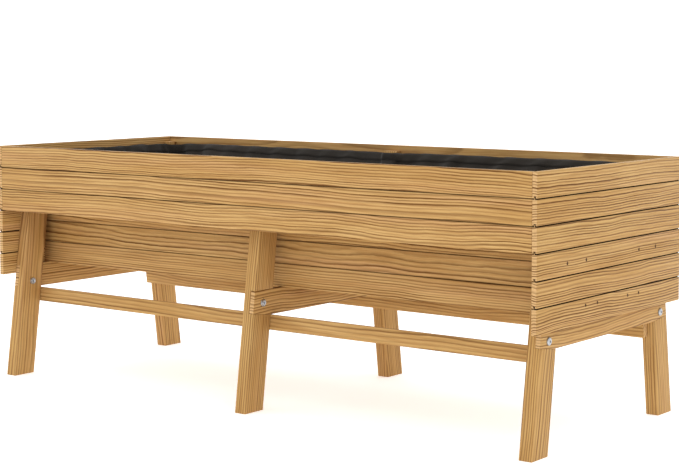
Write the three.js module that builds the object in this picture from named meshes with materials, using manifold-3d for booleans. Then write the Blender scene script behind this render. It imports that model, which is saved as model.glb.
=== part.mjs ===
// Raised planter on splayed legs, in softwood. Units are millimetres and +Z is up.
// The origin is on the ground under the middle of the planter, +X runs along its length
// and -Y is the front. A wide, shallow box stands on a narrower, deeper trough, so the
// cross-section is a T, and both are closed at the ends by full-width horizontal boards.
import * as THREE from "three";
import { mergeVertices } from "three/addons/utils/BufferGeometryUtils.js";
import Module from "manifold-3d";

const wasm = await Module();
wasm.setup();

// Overall size
const LENGTH = 1800;
const WIDTH = 726;
const HEIGHT = 669;

// The matched board that the walls are made from, with a gap at each joint that lets the wood swell
const BOARD_THICKNESS = 14;
const BOARD_PITCH = 62.7;
const BOARD_GAP = 1.6;
const BOARD_HEIGHT = BOARD_PITCH - BOARD_GAP;
const CLEARANCE = 0.3; // between pieces that touch
const TONGUE_THICKNESS = 4; // each joint is closed by a tongue on the lower board
const TONGUE_REACH = 4; // how far the tongue enters the groove of the board above
const GROOVE_DEPTH = TONGUE_REACH + CLEARANCE;

// Walls
const BOX_ROWS = 3;
const TROUGH_ROWS = 3;
const END_ROWS = 6;
const TROUGH_WIDTH = 400;
const INNER_END = LENGTH / 2 - BOARD_THICKNESS;
const PIECE_END = INNER_END - CLEARANCE; // where everything between the two ends stops
const BOX_INSIDE = WIDTH / 2 - BOARD_THICKNESS;
const TROUGH_OUTSIDE = TROUGH_WIDTH / 2;
const TROUGH_INSIDE = TROUGH_OUTSIDE - BOARD_THICKNESS;

// Heights that the pieces stand on, from the ground up
const RAIL_TOP = 317.4;
const RAIL_HEIGHT = 68.1; // between the legs
const RAIL_BOTTOM = RAIL_TOP - RAIL_HEIGHT;
const TROUGH_BOTTOM = RAIL_TOP + CLEARANCE;
const TROUGH_TOP = TROUGH_BOTTOM + TROUGH_ROWS * BOARD_PITCH - BOARD_GAP;
const LEDGE_BOTTOM = TROUGH_TOP + CLEARANCE;
const LEDGE_TOP = LEDGE_BOTTOM + BOARD_THICKNESS;
const FLOOR_TOP = TROUGH_BOTTOM + BOARD_THICKNESS;

// Legs, which lean outward towards the ground and are cut level at both ends
const LEG_THICKNESS = 35;
const LEG_WIDTH = 73;
const LEG_LEAN = 0.134; // sideways travel per millimetre of height
const FOOT_OUTSIDE = 355;
const END_LEG_X = PIECE_END - LEG_THICKNESS / 2;
const MIDDLE_LEG_X = 8; // their rail, on the right face, is further right still

// Stretchers, which lie against the inner edges of the legs and lean with them
const STRETCHER_HEIGHT = 40;
const STRETCHER_THICKNESS = 19;
const STRETCHER_MIDDLE = 229;
const STRETCHER_SHORTFALL = 20; // the right end stops this far inside the end legs

// Connector bolts that clamp a rail into its housing in each leg
const BOLT_DIAMETER = 7;
const BOLT_HOLE = 8;
const BOLT_HEAD = 20;
const BOLT_HEAD_HEIGHT = 4;
const BOLT_NUT_HEIGHT = 2.5;
const BOLT_SOCKET = 5; // across the flats
const BOLT_SOCKET_DEPTH = 2;
const BOLT_SEGMENTS = 24;
const HOLE_SEGMENTS = 16;
const END_BOLT_Z = 271;
const MIDDLE_BOLT_Z = 284;

// Battens and floor
const BATTEN = 28;
const BATTEN_TOP = HEIGHT - 16;
const CLEAT_WIDTH = 70;
const MIDDLE_BATTEN_WIDTH = 45;
const MIDDLE_BATTEN_THICKNESS = 20;
const FLOOR_BOARDS = 4;
const FLOOR_BOARD_WIDTH = 85;
const FLOOR_GAP = 9;

// Fabric liner
const LINER_THICKNESS = 1.6;
const LINER_CLEARANCE = 1;
const LINER_TOP = HEIGHT - 22;

const PINE = { color: 0xc69a5c, roughness: 0.55, metalness: 0 };
const ZINC = { color: 0xb9bcc0, roughness: 0.35, metalness: 1 };
const FABRIC = { color: 0x24231f, roughness: 0.95, metalness: 0 };

const planter = new THREE.Group();

function addMesh(name, geometry, look) {
  const mesh = new THREE.Mesh(geometry, new THREE.MeshStandardMaterial(look));
  mesh.name = name;
  planter.add(mesh);
}

// A box from its lowest to its highest corner.
function boxGeometry(low, high) {
  const size = high.map((value, axis) => value - low[axis]);
  const centre = high.map((value, axis) => (value + low[axis]) / 2);
  return new THREE.BoxGeometry(...size).translate(...centre);
}

function addBoard(name, low, high) {
  addMesh(name, boxGeometry(low, high), PINE);
}

function toSolid(geometry) {
  const bare = geometry.index ? geometry.toNonIndexed() : geometry.clone();
  bare.deleteAttribute("normal");
  bare.deleteAttribute("uv");
  const merged = mergeVertices(bare, 1e-4);
  return new wasm.Manifold(
    new wasm.Mesh({
      numProp: 3,
      vertProperties: new Float32Array(merged.attributes.position.array),
      triVerts: new Uint32Array(merged.index.array),
    }),
  );
}

function fromSolid(solid) {
  const mesh = solid.getMesh();
  const geometry = new THREE.BufferGeometry();
  geometry.setAttribute("position", new THREE.BufferAttribute(mesh.vertProperties, 3));
  geometry.setIndex(new THREE.BufferAttribute(mesh.triVerts, 1));
  geometry.computeVertexNormals();
  return geometry;
}

function subtract(geometry, cutters) {
  return fromSolid(cutters.reduce((left, cutter) => left.subtract(toSolid(cutter)), toSolid(geometry)));
}

// A closed outline of [y, z] points, extruded along X from x0 to x1.
function extrudeAlongX(outline, x0, x1) {
  const shape = new THREE.Shape(outline.map(([y, z]) => new THREE.Vector2(y, z)));
  const geometry = new THREE.ExtrudeGeometry(shape, { depth: x1 - x0, bevelEnabled: false });
  const basis = new THREE.Matrix4().makeBasis(
    new THREE.Vector3(0, 1, 0),
    new THREE.Vector3(0, 0, 1),
    new THREE.Vector3(1, 0, 0),
  );
  return geometry.applyMatrix4(basis).translate(x0, 0, 0);
}

// A closed outline of [x, y] points, extruded upwards from z0 to z1.
function extrudeUp(outline, z0, z1) {
  const shape = new THREE.Shape(outline.map(([x, y]) => new THREE.Vector2(x, y)));
  const geometry = new THREE.ExtrudeGeometry(shape, { depth: z1 - z0, bevelEnabled: false });
  return geometry.translate(0, 0, z0);
}

function cylinderAlongX(radius, length, segments) {
  return new THREE.CylinderGeometry(radius, radius, length, segments).rotateZ(Math.PI / 2);
}

const SIDES = [
  { name: "front", sign: -1 },
  { name: "rear", sign: 1 },
];
const ENDS = [
  { name: "left", sign: -1 },
  { name: "right", sign: 1 },
];
const ROW_NAMES = ["top", "middle", "bottom"];

// Two values in rising order, after both are mirrored by sign.
function span(sign, near, far) {
  return sign > 0 ? [near, far] : [-far, -near];
}

// One board of a wall along X, whose outer face is at y1 or y0. Every board but the highest has a
// tongue on its upper edge, and every board but the lowest has a groove in its lower edge.
function wallBoardGeometry(x0, x1, y0, y1, topOfWall, row, rows) {
  const top = topOfWall - row * BOARD_PITCH;
  const bottom = top - BOARD_HEIGHT;
  const middle = (y0 + y1) / 2;
  const tongue = TONGUE_THICKNESS / 2;
  const groove = tongue + CLEARANCE;
  const outline = [[y0, bottom]];
  if (row < rows - 1) {
    outline.push([middle - groove, bottom], [middle - groove, bottom + GROOVE_DEPTH]);
    outline.push([middle + groove, bottom + GROOVE_DEPTH], [middle + groove, bottom]);
  }
  outline.push([y1, bottom], [y1, top]);
  if (row > 0) {
    const tip = top + BOARD_GAP + TONGUE_REACH;
    outline.push([middle + tongue, top], [middle + tongue, tip]);
    outline.push([middle - tongue, tip], [middle - tongue, top]);
  }
  outline.push([y0, top]);
  return extrudeAlongX(outline, x0, x1);
}

// Long boards of the wide box and of the trough, each between the two ends
function addLongWall(prefix, sign, outside, topOfWall, rows) {
  const [y0, y1] = span(sign, outside - BOARD_THICKNESS, outside);
  for (let row = 0; row < rows; row += 1) {
    const geometry = wallBoardGeometry(-PIECE_END, PIECE_END, y0, y1, topOfWall, row, rows);
    addMesh(`${prefix}_${ROW_NAMES[row]}`, geometry, PINE);
  }
}

for (const side of SIDES) {
  addLongWall(`${side.name}_board`, side.sign, WIDTH / 2, HEIGHT, BOX_ROWS);
  addLongWall(`${side.name}_trough_board`, side.sign, TROUGH_OUTSIDE, TROUGH_TOP, TROUGH_ROWS);
}

// End boards, which close the box and the trough together
for (const end of ENDS) {
  const [y0, y1] = span(-end.sign, INNER_END, LENGTH / 2);
  for (let row = 0; row < END_ROWS; row += 1) {
    const geometry = wallBoardGeometry(-WIDTH / 2, WIDTH / 2, y0, y1, HEIGHT, row, END_ROWS);
    addMesh(`${end.name}_end_board_${row + 1}`, geometry.rotateZ(Math.PI / 2), PINE);
  }
}

// Ledges that close the step between the box and the trough, resting on legs and trough
for (const side of SIDES) {
  const [y0, y1] = span(side.sign, TROUGH_INSIDE, BOX_INSIDE - CLEARANCE);
  addBoard(`${side.name}_ledge_board`, [-PIECE_END, y0, LEDGE_BOTTOM], [PIECE_END, y1, LEDGE_TOP]);
}

// Floor of the trough, laid on the rails with gaps that drain it
const floorWidth = FLOOR_BOARDS * FLOOR_BOARD_WIDTH + (FLOOR_BOARDS - 1) * FLOOR_GAP;
for (let index = 0; index < FLOOR_BOARDS; index += 1) {
  const y0 = -floorWidth / 2 + index * (FLOOR_BOARD_WIDTH + FLOOR_GAP);
  const low = [-PIECE_END, y0, TROUGH_BOTTOM];
  const high = [PIECE_END, y0 + FLOOR_BOARD_WIDTH, FLOOR_TOP];
  addBoard(`floor_board_${index + 1}`, low, high);
}

// Where a leg's outer edge is at a height, measured from the middle of the planter
function legOutside(z) {
  return FOOT_OUTSIDE - LEG_LEAN * z;
}

// Stations of the legs. housing is the side of the leg that its rail is let into.
const STATIONS = [
  { name: "left", x: -END_LEG_X, housing: -1, boltZ: END_BOLT_Z },
  { name: "middle", x: MIDDLE_LEG_X, housing: 1, boltZ: MIDDLE_BOLT_Z },
  { name: "right", x: END_LEG_X, housing: 1, boltZ: END_BOLT_Z },
];

// The bolt's hole through a leg and its rail, centred across the leg
function boltHole(station, side) {
  const y = side.sign * (legOutside(station.boltZ) - LEG_WIDTH / 2);
  return cylinderAlongX(BOLT_HOLE / 2, 2 * LEG_THICKNESS, HOLE_SEGMENTS).translate(station.x, y, station.boltZ);
}

// A rail's lower edge is level between the legs, and from each leg's inner edge on it is cut
// square to that leg. This is its height where a leg covers it.
const RAIL_SHOULDER = legOutside(RAIL_BOTTOM) - LEG_WIDTH;
function railLowerEdge(y) {
  return RAIL_BOTTOM + LEG_LEAN * (y - RAIL_SHOULDER);
}

// Where that lower edge meets the leg's outer edge
const RAIL_CORNER = RAIL_SHOULDER + LEG_WIDTH / (1 + LEG_LEAN ** 2);

function legGeometry(station, side) {
  const blankOutline = [
    [FOOT_OUTSIDE - LEG_WIDTH, 0],
    [FOOT_OUTSIDE, 0],
    [legOutside(TROUGH_TOP), TROUGH_TOP],
    [legOutside(TROUGH_TOP) - LEG_WIDTH, TROUGH_TOP],
  ];
  const housingOutline = [
    [0, railLowerEdge(0) - CLEARANCE],
    [WIDTH / 2, railLowerEdge(WIDTH / 2) - CLEARANCE],
    [WIDTH / 2, RAIL_TOP + CLEARANCE],
    [0, RAIL_TOP + CLEARANCE],
  ];
  const [blankSide, housingSide] = [blankOutline, housingOutline].map((outline) => {
    const mirrored = outline.map(([y, z]) => [side.sign * y, z]);
    return side.sign < 0 ? mirrored.reverse() : mirrored;
  });
  const half = LEG_THICKNESS / 2;
  const floor = half - BOARD_THICKNESS - CLEARANCE;
  const [x0, x1] = span(station.housing, floor, LEG_THICKNESS);
  const blank = extrudeAlongX(blankSide, station.x - half, station.x + half);
  const housing = extrudeAlongX(housingSide, station.x + x0, station.x + x1);
  return subtract(blank, [housing, boltHole(station, side)]);
}

// A rail joins a front and a rear leg and carries the trough. Its ends follow the legs' lean.
function railGeometry(station) {
  const half = LEG_THICKNESS / 2;
  const [x0, x1] = span(station.housing, half - BOARD_THICKNESS, half);
  const outline = [
    [RAIL_SHOULDER, RAIL_BOTTOM],
    [RAIL_CORNER, railLowerEdge(RAIL_CORNER)],
    [legOutside(RAIL_TOP), RAIL_TOP],
  ];
  const mirrored = outline.map(([y, z]) => [-y, z]).reverse();
  const blank = extrudeAlongX([...outline, ...mirrored], station.x + x0, station.x + x1);
  return subtract(blank, SIDES.map((side) => boltHole(station, side)));
}

// A domed connector bolt and its flat sleeve nut, screwed tight on each other.
// The profile runs from the nut's face to the top of the dome, as [radius, height] points.
function boltGeometry() {
  const nutFace = -LEG_THICKNESS / 2 - BOLT_NUT_HEIGHT - CLEARANCE;
  const nutSeat = -LEG_THICKNESS / 2 - CLEARANCE;
  const headSeat = LEG_THICKNESS / 2 + CLEARANCE;
  const rim = headSeat + BOLT_HEAD_HEIGHT / 3;
  const crown = headSeat + BOLT_HEAD_HEIGHT;
  const flat = BOLT_SOCKET * 0.8;
  const profile = [
    new THREE.Vector2(0, nutFace),
    new THREE.Vector2(BOLT_HEAD / 2 - 1, nutFace),
    new THREE.Vector2(BOLT_HEAD / 2, nutFace + 1),
    new THREE.Vector2(BOLT_HEAD / 2, nutSeat),
    new THREE.Vector2(BOLT_DIAMETER / 2, nutSeat),
    new THREE.Vector2(BOLT_DIAMETER / 2, headSeat),
    new THREE.Vector2(BOLT_HEAD / 2, headSeat),
    new THREE.Vector2(BOLT_HEAD / 2, rim),
  ];
  const steps = 5;
  for (let step = 1; step <= steps; step += 1) {
    const angle = (step / steps) * (Math.PI / 2);
    const radius = flat + (BOLT_HEAD / 2 - flat) * Math.cos(angle);
    profile.push(new THREE.Vector2(radius, rim + (crown - rim) * Math.sin(angle)));
  }
  profile.push(new THREE.Vector2(0, crown));
  const turned = new THREE.LatheGeometry(profile, BOLT_SEGMENTS);
  const socketRadius = BOLT_SOCKET / Math.sqrt(3);
  const sockets = [crown, nutFace].map((face) =>
    new THREE.CylinderGeometry(socketRadius, socketRadius, 2 * BOLT_SOCKET_DEPTH, 6).translate(0, face, 0),
  );
  return subtract(turned, sockets);
}

for (const station of STATIONS) {
  for (const side of SIDES) {
    addMesh(`${side.name}_leg_${station.name}`, legGeometry(station, side), PINE);
  }
  addMesh(`cross_rail_${station.name}`, railGeometry(station), PINE);
}

for (const station of STATIONS) {
  for (const side of SIDES) {
    const y = side.sign * (legOutside(station.boltZ) - LEG_WIDTH / 2);
    const turn = -station.housing * (Math.PI / 2); // the dome faces the housing's side
    const bolt = boltGeometry().rotateZ(turn).translate(station.x, y, station.boltZ);
    addMesh(`${side.name}_bolt_${station.name}`, bolt, ZINC);
  }
}

// Long stretchers, one behind the front legs and one before the rear legs
for (const side of SIDES) {
  const lean = Math.atan(LEG_LEAN);
  const face = legOutside(STRETCHER_MIDDLE) - LEG_WIDTH - CLEARANCE;
  const outline = [
    [-STRETCHER_THICKNESS, -STRETCHER_HEIGHT / 2],
    [0, -STRETCHER_HEIGHT / 2],
    [0, STRETCHER_HEIGHT / 2],
    [-STRETCHER_THICKNESS, STRETCHER_HEIGHT / 2],
  ].map(([depth, height]) => [
    side.sign * (face + depth * Math.cos(lean) - height * Math.sin(lean)),
    STRETCHER_MIDDLE + depth * Math.sin(lean) + height * Math.cos(lean),
  ]);
  if (side.sign < 0) outline.reverse();
  const geometry = extrudeAlongX(outline, -PIECE_END, PIECE_END - STRETCHER_SHORTFALL);
  addMesh(`${side.name}_stretcher`, geometry, PINE);
}

// Battens that hold the boards of a wall together, in the corners and at mid-length
const battenInside = BOX_INSIDE - CLEARANCE;
const cleatInside = TROUGH_INSIDE - CLEARANCE;
const boxBattenZ = [LEDGE_TOP + CLEARANCE, BATTEN_TOP];
const troughBattenZ = [FLOOR_TOP + CLEARANCE, TROUGH_TOP];

for (const side of SIDES) {
  for (const end of ENDS) {
    const [x0, x1] = span(end.sign, PIECE_END - BATTEN, PIECE_END);
    const [y0, y1] = span(side.sign, battenInside - BATTEN, battenInside);
    const [c0, c1] = span(side.sign, cleatInside - CLEAT_WIDTH, cleatInside);
    const place = `${side.name}_${end.name}`;
    addBoard(`corner_batten_${place}`, [x0, y0, boxBattenZ[0]], [x1, y1, boxBattenZ[1]]);
    addBoard(`trough_cleat_${place}`, [x0, c0, troughBattenZ[0]], [x1, c1, troughBattenZ[1]]);
  }
  const half = MIDDLE_BATTEN_WIDTH / 2;
  const [y0, y1] = span(side.sign, battenInside - MIDDLE_BATTEN_THICKNESS, battenInside);
  const [c0, c1] = span(side.sign, cleatInside - MIDDLE_BATTEN_THICKNESS, cleatInside);
  addBoard(`${side.name}_middle_batten`, [-half, y0, boxBattenZ[0]], [half, y1, boxBattenZ[1]]);
  addBoard(`${side.name}_trough_batten`, [-half, c0, troughBattenZ[0]], [half, c1, troughBattenZ[1]]);
}

// The liner's outline in plan: a rectangle that steps in round the corner and middle battens.
// inset moves every wall of the outline towards the middle of the planter.
function linerOutline(halfY, cornerDepth, cornerWidth, middleDepth, inset) {
  const endX = PIECE_END - LINER_CLEARANCE - inset;
  const sideY = halfY - LINER_CLEARANCE - inset;
  const cornerX = PIECE_END - cornerDepth - LINER_CLEARANCE - inset;
  const cornerY = halfY - cornerWidth - LINER_CLEARANCE - inset;
  const middleX = MIDDLE_BATTEN_WIDTH / 2 + LINER_CLEARANCE + inset;
  const middleY = halfY - middleDepth - LINER_CLEARANCE - inset;
  const quarter = [
    [endX, cornerY],
    [cornerX, cornerY],
    [cornerX, sideY],
    [middleX, sideY],
    [middleX, middleY],
  ];
  const mirrored = (signX, signY) => quarter.map(([x, y]) => [signX * x, signY * y]);
  return [
    ...mirrored(1, 1),
    ...mirrored(-1, 1).reverse(),
    ...mirrored(-1, -1),
    ...mirrored(1, -1).reverse(),
  ];
}

function linerBody(inset, floorLift, topLift) {
  const boxOutline = linerOutline(battenInside, BATTEN, BATTEN, MIDDLE_BATTEN_THICKNESS, inset);
  const troughOutline = linerOutline(cleatInside, BATTEN, CLEAT_WIDTH, MIDDLE_BATTEN_THICKNESS, inset);
  const ledge = LEDGE_TOP + LINER_CLEARANCE + floorLift;
  const floor = FLOOR_TOP + LINER_CLEARANCE + floorLift;
  const box = toSolid(extrudeUp(boxOutline, ledge, LINER_TOP + topLift));
  const trough = toSolid(extrudeUp(troughOutline, floor, ledge + LINER_THICKNESS));
  return box.add(trough);
}

const linerOuter = linerBody(0, 0, 0);
const linerInner = linerBody(LINER_THICKNESS, LINER_THICKNESS, LINER_THICKNESS);
addMesh("fabric_liner", fromSolid(linerOuter.subtract(linerInner)), FABRIC);

export default planter;
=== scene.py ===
"""Looks of the raised planter: dressed boards with real rounded edges, splayed legs with housings,
connector bolts, countersunk screws, and a draped felt liner with its hem and staples.
Everything is in metres, in the CAD model's frame: +X to the right end, -Y to the front, +Z up."""
import math
import random

import bmesh
import bpy
from mathutils import Matrix, Vector


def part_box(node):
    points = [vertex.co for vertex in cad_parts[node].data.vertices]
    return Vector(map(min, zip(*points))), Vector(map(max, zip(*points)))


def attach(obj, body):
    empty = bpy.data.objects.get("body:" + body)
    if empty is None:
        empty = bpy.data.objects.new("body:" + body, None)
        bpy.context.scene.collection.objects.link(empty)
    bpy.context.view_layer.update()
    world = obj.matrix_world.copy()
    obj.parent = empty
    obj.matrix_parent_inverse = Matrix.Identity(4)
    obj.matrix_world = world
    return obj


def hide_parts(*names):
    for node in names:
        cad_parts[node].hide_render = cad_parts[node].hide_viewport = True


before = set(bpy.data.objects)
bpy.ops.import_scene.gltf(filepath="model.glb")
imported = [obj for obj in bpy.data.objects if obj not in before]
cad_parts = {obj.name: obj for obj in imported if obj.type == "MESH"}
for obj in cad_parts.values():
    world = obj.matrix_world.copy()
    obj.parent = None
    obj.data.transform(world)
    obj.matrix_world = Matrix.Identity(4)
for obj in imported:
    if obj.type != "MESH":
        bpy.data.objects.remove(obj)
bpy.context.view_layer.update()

BODY = "root"
MM = 0.001

# The design's own dimensions, which the node boxes don't give
LEG_LEAN = 0.134
LEG_WIDTH = 73 * MM
FOOT_OUTSIDE = 355 * MM
BOARD_THICKNESS = 14 * MM
CLEARANCE = 0.3 * MM
BOARD_GAP = 1.6 * MM
TONGUE_THICKNESS = 4 * MM
TONGUE_REACH = 4 * MM
GROOVE_DEPTH = TONGUE_REACH + CLEARANCE
STRETCHER_HEIGHT = 40 * MM
STRETCHER_THICKNESS = 19 * MM
STRETCHER_MIDDLE = 229 * MM
BOLT_HEAD_RADIUS = 10 * MM
BOLT_SHANK_RADIUS = 3.5 * MM
BOLT_SOCKET = 5 * MM
BOLT_SOCKET_DEPTH = 2 * MM
BOLT_SOCKET_CHAMFER = 0.25 * MM
BOLT_RIM = 1.3 * MM  # the straight edge of the head, under its dome
# The rounded edge of the sleeve nut's flange, as (inset, depth)
NUT_EDGE = ((1.2 * MM, 0.0), (0.35 * MM, 0.35 * MM), (0.0, 1.1 * MM))

EDGE = 1.3 * MM  # radius of the rounded edge of a planed board
LEG_EDGE = 1.2 * MM
SHARP_WOOD_ANGLE = math.radians(35)  # a steeper turn between two faces stays sharp
SHARP_METAL_ANGLE = math.radians(32)
SEAM_TURN = 0.7  # how far a face turns towards its neighbour before it takes the full painted shade of its joint
# Strength of the shade painted into the joints between boards: stronger on the end walls than on the long
# walls, where the light falls differently
SIDE_PAINTED_SHADE = 0.4
END_PAINTED_SHADE = 1.0

SIDES = {"front": -1, "rear": 1}
ENDS = {"left": -1, "right": 1}
STATIONS = ("left", "middle", "right")
ROWS = ("top", "middle", "bottom")
END_BOARDS = 6
FLOOR_BOARDS = 4


# ---------------------------------------------------------------- node helpers

class Shader:
    """A short way to write a node tree. Most calls add a node and return its output socket."""

    def __init__(self, name):
        self.material = bpy.data.materials.new(name)
        self.material.use_nodes = True
        self.nodes = self.material.node_tree.nodes
        self.links = self.material.node_tree.links
        self.surface = self.nodes["Principled BSDF"]

    def feed(self, socket, value):
        """Links another node's output to a socket, or sets the socket to a plain value."""
        if isinstance(value, bpy.types.NodeSocket):
            self.links.new(value, socket)
        elif value is not None:
            socket.default_value = value

    def give(self, name, value):
        """Feeds one of the surface's own sockets."""
        self.feed(self.surface.inputs[name], value)

    def math(self, operation, a, b=None, c=None):
        node = self.nodes.new("ShaderNodeMath")
        node.operation = operation
        for socket, value in zip(node.inputs, (a, b, c)):
            self.feed(socket, value)
        return node.outputs[0]

    def times(self, a, b):
        return self.math("MULTIPLY", a, b)

    def plus(self, a, b):
        return self.math("ADD", a, b)

    def combine(self, x, y, z):
        node = self.nodes.new("ShaderNodeCombineXYZ")
        for socket, value in zip(node.inputs, (x, y, z)):
            self.feed(socket, value)
        return node.outputs[0]

    def separate(self, vector):
        node = self.nodes.new("ShaderNodeSeparateXYZ")
        self.feed(node.inputs[0], vector)
        return node.outputs

    def coordinates(self):
        return self.nodes.new("ShaderNodeTexCoord").outputs["Object"]

    def attribute(self, name, output):
        node = self.nodes.new("ShaderNodeAttribute")
        node.attribute_name = name
        return node.outputs[output]

    def noise(self, vector, scale=1.0, detail=2.0, roughness=0.5):
        node = self.nodes.new("ShaderNodeTexNoise")
        self.feed(node.inputs["Vector"], vector)
        self.feed(node.inputs["Scale"], scale)
        self.feed(node.inputs["Detail"], detail)
        self.feed(node.inputs["Roughness"], roughness)
        return node.outputs[0]

    def cell_distance(self, vector, scale=1.0):
        """The distance to the nearest of a field of scattered points."""
        node = self.nodes.new("ShaderNodeTexVoronoi")
        self.feed(node.inputs["Vector"], vector)
        self.feed(node.inputs["Scale"], scale)
        return node.outputs["Distance"]

    def white(self, value):
        """A random number that stays the same for the same value."""
        node = self.nodes.new("ShaderNodeTexWhiteNoise")
        node.noise_dimensions = "1D"
        self.feed(node.inputs["W"], value)
        return node.outputs[0]

    def ramp(self, value, low, high, to_low=0.0, to_high=1.0):
        """Goes smoothly from to_low to to_high while the value goes from low to high."""
        node = self.nodes.new("ShaderNodeMapRange")
        node.interpolation_type = "SMOOTHSTEP"
        for socket, number in zip(node.inputs, (value, low, high, to_low, to_high)):
            self.feed(socket, number)
        return node.outputs[0]

    def mix(self, factor, a, b):
        """Blends two colours. A mix node has sockets for other kinds of data before those for colours."""
        node = self.nodes.new("ShaderNodeMix")
        node.data_type = "RGBA"
        first, second, result = node.inputs[6], node.inputs[7], node.outputs[2]
        self.feed(node.inputs[0], factor)
        self.feed(first, a)
        self.feed(second, b)
        return result

    def bump(self, height, strength, distance):
        node = self.nodes.new("ShaderNodeBump")
        self.feed(node.inputs["Strength"], strength)
        self.feed(node.inputs["Distance"], distance)
        self.feed(node.inputs["Height"], height)
        self.give("Normal", node.outputs[0])


def colour(red, green, blue):
    """An sRGB colour of 0 to 255 as the linear colour that a shader takes."""
    def linear(value):
        share = value / 255
        return share / 12.92 if share <= 0.04045 else ((share + 0.055) / 1.055) ** 2.4
    return (linear(red), linear(green), linear(blue), 1.0)


# ---------------------------------------------------------------- materials

def wood_material():
    """Oiled softwood. It is cut from a log: growth rings round the pith, seen where the board's
    faces cross them. Each mesh carries these attributes:
    grain      along the log, across and through, in metres from a point on the pith
    habit      width of a growth ring in metres, strength of its dark part, and how far it wanders
    tone       a number of 0 to 1 that is the board's own
    end_grain  1 on the faces that cut across the fibres
    painted_shade  how dark a face is painted in a joint between boards: painted shade where the gap falls
    dark"""
    s = Shader("oiled_pine")
    along, across, through = s.separate(s.attribute("grain", "Vector"))
    pitch, contrast, wildness = s.separate(s.attribute("habit", "Vector"))
    tone = s.attribute("tone", "Fac")
    end_grain = s.attribute("end_grain", "Fac")
    painted_shade = s.attribute("painted_shade", "Fac")
    shift = s.times(tone, 37.0)

    def stretched(per_metre, side_scale, seed=0.0):
        """Coordinates for a pattern that is drawn out along the fibres, other on each board."""
        first, second = s.times(along, per_metre), s.times(across, side_scale)
        return s.combine(first, second, s.plus(s.times(through, side_scale), s.plus(shift, seed)))

    def waver(per_metre, side_scale, seed, amount):
        """A smooth wander, in metres, that changes along the log and a little across it."""
        wander = s.math("SUBTRACT", s.noise(stretched(per_metre, side_scale, seed)), 0.5)
        return s.times(wander, s.times(wildness, amount))

    sideways = s.plus(waver(1.7, 1.0, 0.0, 0.036), waver(6.0, 7.0, 5.0, 0.0085))
    inward = s.plus(waver(1.5, 1.0, 11.0, 0.048), waver(5.0, 8.0, 17.0, 0.0060))
    ragged = s.plus(waver(18.0, 60.0, 29.0, 0.0022), waver(48.0, 150.0, 23.0, 0.0009))

    # Pin knots: the rings swerve round a few points of each board
    knot_distance = s.cell_distance(stretched(1.1, 5.0, 3.0))
    knot_pull = s.ramp(knot_distance, 0.0, 0.13, 0.0055, 0.0)
    knot_core = s.ramp(knot_distance, 0.006, 0.018, 1.0, 0.0)

    x = s.plus(across, sideways)
    y = s.plus(through, inward)
    square = s.plus(s.times(x, x), s.times(y, y))
    radius = s.plus(s.math("SQRT", square), s.plus(ragged, knot_pull))
    uneven = s.noise(s.combine(s.times(radius, 30.0), shift, 0.0), 1.0, 1.0)
    ring = s.plus(s.math("DIVIDE", radius, pitch), s.times(uneven, 3.2))
    place = s.math("FRACT", ring)
    strength = s.math("MULTIPLY_ADD", s.white(s.math("FLOOR", ring)), 0.75, 0.25)
    late = s.times(s.math("POWER", s.ramp(place, 0.18, 0.84), 1.5), s.ramp(place, 0.84, 1.0, 1.0, 0.0))
    patches = s.ramp(s.noise(stretched(3.0, 16.0, 31.0)), 0.30, 0.70, 0.60, 1.0)
    dark = s.times(s.times(late, strength), s.times(patches, contrast))

    streak = s.noise(stretched(7.0, 230.0, 41.0), 1.0, 2.0, 0.55)
    fibre = s.noise(stretched(14.0, 620.0), 1.0, 2.0, 0.6)
    pore = s.ramp(s.noise(stretched(75.0, 1500.0), 1.0, 1.0), 0.66, 0.74)
    mottle = s.noise(stretched(1.6, 13.0, 7.0), 1.0, 3.0)
    blush = s.noise(stretched(0.9, 22.0, 13.0), 1.0, 2.0)

    early = s.mix(tone, colour(201, 164, 106), colour(206, 167, 109))
    early = s.mix(s.ramp(mottle, 0.3, 0.7), early, colour(194, 153, 93))
    early = s.mix(s.ramp(blush, 0.50, 0.72, 0.0, 0.6), early, colour(199, 153, 107))
    early = s.mix(s.ramp(streak, 0.36, 0.70, 0.0, 0.50), early, colour(162, 116, 62))
    early = s.mix(s.ramp(fibre, 0.35, 0.75, 0.0, 0.30), early, colour(170, 124, 70))
    early = s.mix(s.times(end_grain, 0.45), early, colour(222, 184, 136))
    shade = s.mix(dark, early, colour(98, 60, 22))
    shade = s.mix(s.times(pore, 0.22), shade, colour(112, 72, 34))
    shade = s.mix(s.times(knot_core, 0.6), shade, colour(96, 56, 26))
    # Painted shade: faces in and beside the board joints are darkened almost to black, where the gaps
    # fall into shade
    shade = s.mix(painted_shade, shade, colour(26, 7, 0))
    s.give("Base Color", shade)

    rough = s.math("MULTIPLY_ADD", fibre, 0.16, 0.46)
    rough = s.math("MULTIPLY_ADD", painted_shade, 0.5, rough)
    s.give("Roughness", s.math("MULTIPLY_ADD", dark, -0.06, rough))
    s.give("Specular IOR Level", 0.1)
    relief = s.math("MULTIPLY_ADD", dark, 0.7, s.times(fibre, 0.45))
    s.bump(s.math("SUBTRACT", relief, s.times(pore, 0.5)), 0.5, 0.25 * MM)
    return s.material


def zinc_material():
    """Bright zinc plate with faint passivation clouds and turning marks."""
    s = Shader("zinc_plate")
    coordinates = s.coordinates()
    cloud = s.noise(coordinates, 260.0, 3.0)
    scratch = s.noise(coordinates, 2600.0, 2.0, 0.7)
    plate = s.mix(s.ramp(cloud, 0.35, 0.7), colour(186, 188, 191), colour(150, 152, 156))
    s.give("Base Color", plate)
    s.give("Metallic", 1.0)
    s.give("Roughness", s.ramp(scratch, 0.2, 0.8, 0.24, 0.42))
    s.bump(scratch, 0.12, 0.05 * MM)
    return s.material


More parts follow.
